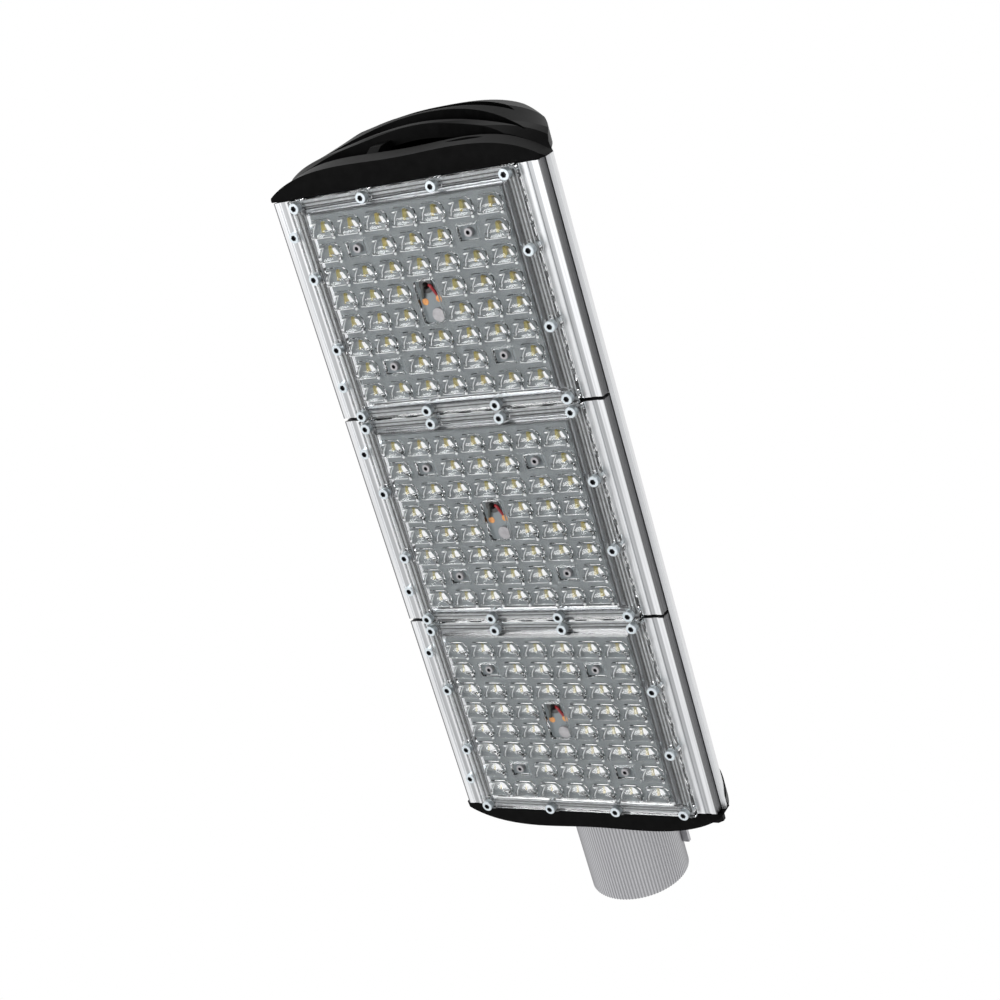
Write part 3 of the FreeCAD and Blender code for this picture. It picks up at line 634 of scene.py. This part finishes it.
# Heat sinks, with their ends pulled in a little, which opens a gap between two modules; their end faces take
# painted shade, which darkens that gap

end_gap = 0.7 * mm
endwise = 0.9
painted_light_bar_finish = painted_light_bar()


def heat_sink(module, centre):
    name = module + "_heat_sink"
    bm = merged_copy(name)
    middle = Matrix.Translation((centre, 0, 0))
    shorter = Matrix.Diagonal((1 - 2 * end_gap / module_length, 1, 1, 1))
    bmesh.ops.transform(bm, matrix=middle @ shorter @ middle.inverted(), verts=bm.verts[:])
    bm.normal_update()
    for side in bm.faces:
        # End faces take the second finish, painted shade for the gap between modules
        if abs(side.normal.x) > endwise:
            side.material_index = 1
    add_piece(name + "_bar", mesh_of(bm, name), [painted_light_bar_finish, painted_recess_and_gap_shade], name)


for module, centre in module_centres.items():
    gasket_foot(module)
    beads_of_gasket(module, centre)
    feed(module, centre)
    heat_sink(module, centre)
wire_pads()


# Socket screws: radius and height of the head, radius of the hexagon and radius of the shank

m4 = (3.5 * mm, 4.0 * mm, 1.95 * mm, 2.0 * mm)
m3 = (2.75 * mm, 3.0 * mm, 1.45 * mm, 1.5 * mm)
face_share = 0.92
socket_depth_share = 0.55
up = (0, 0, 1)
to_pole = (-1, 0, 0)
from_pole = (1, 0, 0)


def socket_screw(thread, length):
    """Socket screw along +Z, from the face of its head at 0 to the tip of its shank."""
    head_radius, head_height, socket_radius, shank_radius = thread
    bm = bmesh.new()
    bmesh.ops.create_circle(bm, segments=6, radius=socket_radius)
    bmesh.ops.subdivide_edges(bm, edges=bm.edges[:], cuts=round_sides // 6 - 1)
    hexagon = bm.edges[:]
    bmesh.ops.create_circle(bm, segments=round_sides, radius=face_share * head_radius)
    circle = [edge for edge in bm.edges if edge not in hexagon]
    bmesh.ops.bridge_loops(bm, edges=hexagon + circle)

    def extended(edges, shift, scale):
        verts, loop = extruded_loop(bm, edges)
        bmesh.ops.scale(bm, vec=(scale, scale, 1), verts=verts)
        bmesh.ops.translate(bm, vec=(0, 0, shift), verts=verts)
        return loop

    head_face = set(bm.faces)
    bottom = extended(hexagon, socket_depth_share * head_height, 1)
    bmesh.ops.edgeloop_fill(bm, edges=bottom)
    # The socket's walls and bottom take the second finish: painted shade in the recess
    for side in set(bm.faces) - head_face:
        side.material_index = 1
    rim = extended(circle, (1 - face_share) * head_height, 1 / face_share)
    under = extended(rim, face_share * head_height, 1)
    neck = extended(under, 0, shank_radius / head_radius)
    tip = extended(neck, length - head_height, 1)
    bmesh.ops.edgeloop_fill(bm, edges=tip)
    bmesh.ops.recalc_face_normals(bm, faces=bm.faces[:])
    return mesh_of(bm, "screw")


def solid_boxes(bm):
    """Lowest and highest corner of each separate solid, in the order of their places."""
    left = set(bm.verts)
    boxes = []
    while left:
        todo = [left.pop()]
        low = Vector(todo[0].co)
        high = Vector(todo[0].co)
        while todo:
            vert = todo.pop()
            for axis in range(3):
                low[axis] = min(low[axis], vert.co[axis])
                high[axis] = max(high[axis], vert.co[axis])
            for edge in vert.link_edges:
                other = edge.other_vert(vert)
                if other in left:
                    left.remove(other)
                    todo.append(other)
        boxes.append((low, high))
    return sorted(boxes, key=lambda box: tuple(box[0]))


def socket_screws(name, direction, thread, finish):
    """Screws with hex sockets in place of the plain ones of this node."""
    plain_screws = merged_copy(name)
    boxes = solid_boxes(plain_screws)
    plain_screws.free()
    axis = Vector(direction)
    low, high = boxes[0]
    length = abs((high - low).dot(axis))
    mesh = socket_screw(thread, length)
    turn = Vector(up).rotation_difference(axis).to_matrix().to_4x4()
    bm = bmesh.new()
    for low, high in boxes:
        head = (low + high) / 2 - axis * length / 2
        stamp(bm, mesh, Matrix.Translation(head) @ turn)
    add_piece(name + "_with_sockets", mesh_of(bm, name), [finish, painted_recess_and_gap_shade], name)


socket_screws("lens_screws", up, m4, materials["zinc_steel"])
socket_screws("module_screws", up, m4, materials["zinc_steel"])
socket_screws("front_cap_screws", to_pole, m4, black_steel)
socket_screws("rear_cap_screws", from_pole, m4, black_steel)
socket_screws("board_screws", up, m3, tinned_steel)


# Camera, light and background

def add_camera():
    camera_place = Vector((0.7151, 0.6271, -0.9408))
    camera_aim = Vector((0.2953, 0.0, -0.04))
    camera_roll = math.radians(46.07)
    data = bpy.data.cameras.new("camera")
    camera = bpy.data.objects.new("camera", data)
    bpy.context.scene.collection.objects.link(camera)
    turn = (camera_aim - camera_place).to_track_quat("-Z", "Y").to_matrix().to_4x4()
    camera.matrix_world = Matrix.Translation(camera_place) @ turn @ Matrix.Rotation(camera_roll, 4, "Z")
    data.sensor_width = 36.0
    data.lens = 67.465
    data.shift_x = -0.0007
    data.shift_y = 0.018
    data.clip_start = 0.05
    bpy.context.scene.camera = camera


def add_key_light():
    """Soft round light below the lamp, on the far side from the camera."""
    light_place = Vector((0.9, -0.6, -1.4))
    light_aim = Vector((0.3, 0, 0))
    data = bpy.data.lights.new("key_light", "AREA")
    data.shape = "DISK"
    data.size = 0.8
    data.energy = 14
    light = bpy.data.objects.new("key_light", data)
    bpy.context.scene.collection.objects.link(light)
    light.location = light_place
    light.rotation_euler = (light_aim - light_place).to_track_quat("-Z", "Y").to_euler()


def seen_by(owner, kinds):
    """1 for rays of these kinds, 0 for others."""
    path = add_node(owner, "ShaderNodeLightPath")
    seen = path.outputs[kinds[0]]
    for kind in kinds[1:]:
        seen = arithmetic(owner, "MAXIMUM", seen, path.outputs[kind])
    return seen


def add_world():
    """White where it is seen, also in metal and through clear things, and light grey as a light."""
    world = bpy.data.worlds.new("world")
    world.use_nodes = True
    seen = seen_by(world, ("Is Camera Ray", "Is Glossy Ray", "Is Transmission Ray"))
    colour = blended(world, seen, (0.75, 0.75, 0.76), grey(1.0))
    link(world, colour, world.node_tree.nodes["Background"].inputs["Color"])
    bpy.context.scene.world = world


def add_floor():
    """Pale floor well below the lamp and its camera; metal and clear things show it as white."""
    floor_level = -2.5
    floor_half_size = 15.0
    floor_glow = 0.3
    bm = bmesh.new()
    bmesh.ops.create_grid(bm, x_segments=1, y_segments=1, size=floor_half_size,
                          matrix=Matrix.Translation((0, 0, floor_level)))
    floor = bpy.data.objects.new("floor", mesh_of(bm, "floor"))
    bpy.context.scene.collection.objects.link(floor)
    paint = plain("pale_floor", grey(0.86), 0.8)
    shader = shader_of(paint)
    shader.inputs["Emission Color"].default_value = (1, 1, 1, 1)
    seen = seen_by(paint, ("Is Glossy Ray", "Is Transmission Ray"))
    link(paint, arithmetic(paint, "MULTIPLY", seen, floor_glow), shader.inputs["Emission Strength"])
    floor.data.materials.append(paint)


add_camera()
add_world()
add_floor()
add_key_light()
bpy.context.scene.view_settings.view_transform = "Standard"
